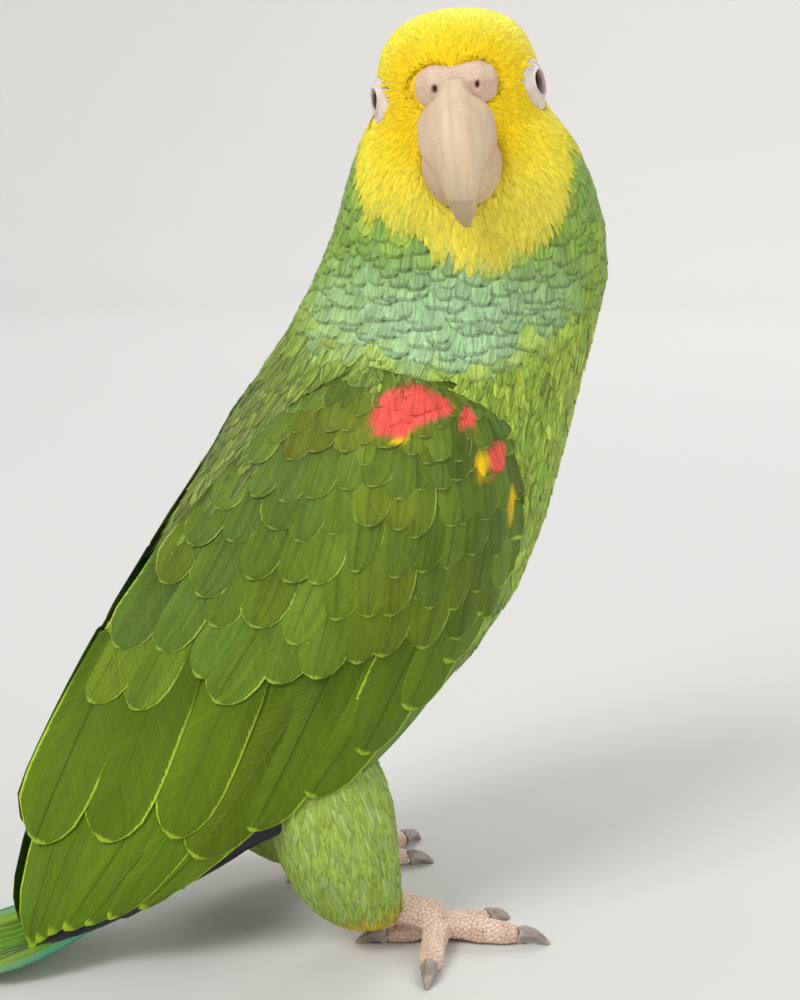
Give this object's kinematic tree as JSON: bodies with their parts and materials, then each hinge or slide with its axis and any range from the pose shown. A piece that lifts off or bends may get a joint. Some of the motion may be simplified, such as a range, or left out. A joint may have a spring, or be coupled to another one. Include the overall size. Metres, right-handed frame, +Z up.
{
  "type": "amazon parrot figure",
  "caption": "Life-size still model of a yellow-headed amazon parrot standing at rest, head turned to its right, wings folded, tail laid on the floor behind the feet.",
  "frame": {"origin": "middle of the bounding box on the floor the bird stands on", "axes": "+Z up from the floor to the crown; the breast faces +X turned 20 degrees towards +Y, and the bird's left side faces +Y turned 20 degrees towards -X; the face looks towards -Y"},
  "size_m": [0.2042, 0.1108, 0.2536],
  "materials": {
    "yellow": "soft short head plumage, lemon to golden yellow",
    "aqua": "scalloped ruff plumage, pale blue-green with dark edges",
    "green": "body plumage, yellow-green with darker streaks",
    "wing": "wing feathers, olive green with pale edges",
    "quill": "flight feather vanes, dark grey",
    "tail": "tail feathers, bright green with yellow edges",
    "horn": "bill horn, pinkish cream with a soft sheen",
    "cere": "bare skin round the nostrils, pinkish",
    "lid": "bare skin round the eyes, whitish pink, finely folded",
    "eye": "eye, dark brown iris and black pupil under a clear wet surface",
    "scale": "foot skin, pinkish beige, finely scaled",
    "claw": "claw horn, grey-brown, darker on the far foot"
  },
  "bodies": {
    "root": {"cere": "cere", "claw_left_1": "claw", "claw_left_2": "claw", "claw_left_3": "claw", "claw_left_4": "claw", "claw_right_1": "claw", "claw_right_2": "claw", "claw_right_3": "claw", "claw_right_4": "claw", "eye_left": "eye", "eye_right": "eye", "eye_ring_left": "lid", "eye_ring_right": "lid", "foot_left": "scale", "foot_right": "scale", "head": "yellow", "lower_bill": "horn", "neck": "aqua", "tail": "tail", "tail_coverts": "green", "thigh_left": "green", "thigh_right": "green", "trunk": "green", "upper_bill": "horn", "wing_left_coverts": "wing", "wing_left_primaries": "quill", "wing_left_secondaries": "wing", "wing_right_coverts": "wing", "wing_right_primaries": "quill", "wing_right_secondaries": "wing"}
  },
  "joints": []
}
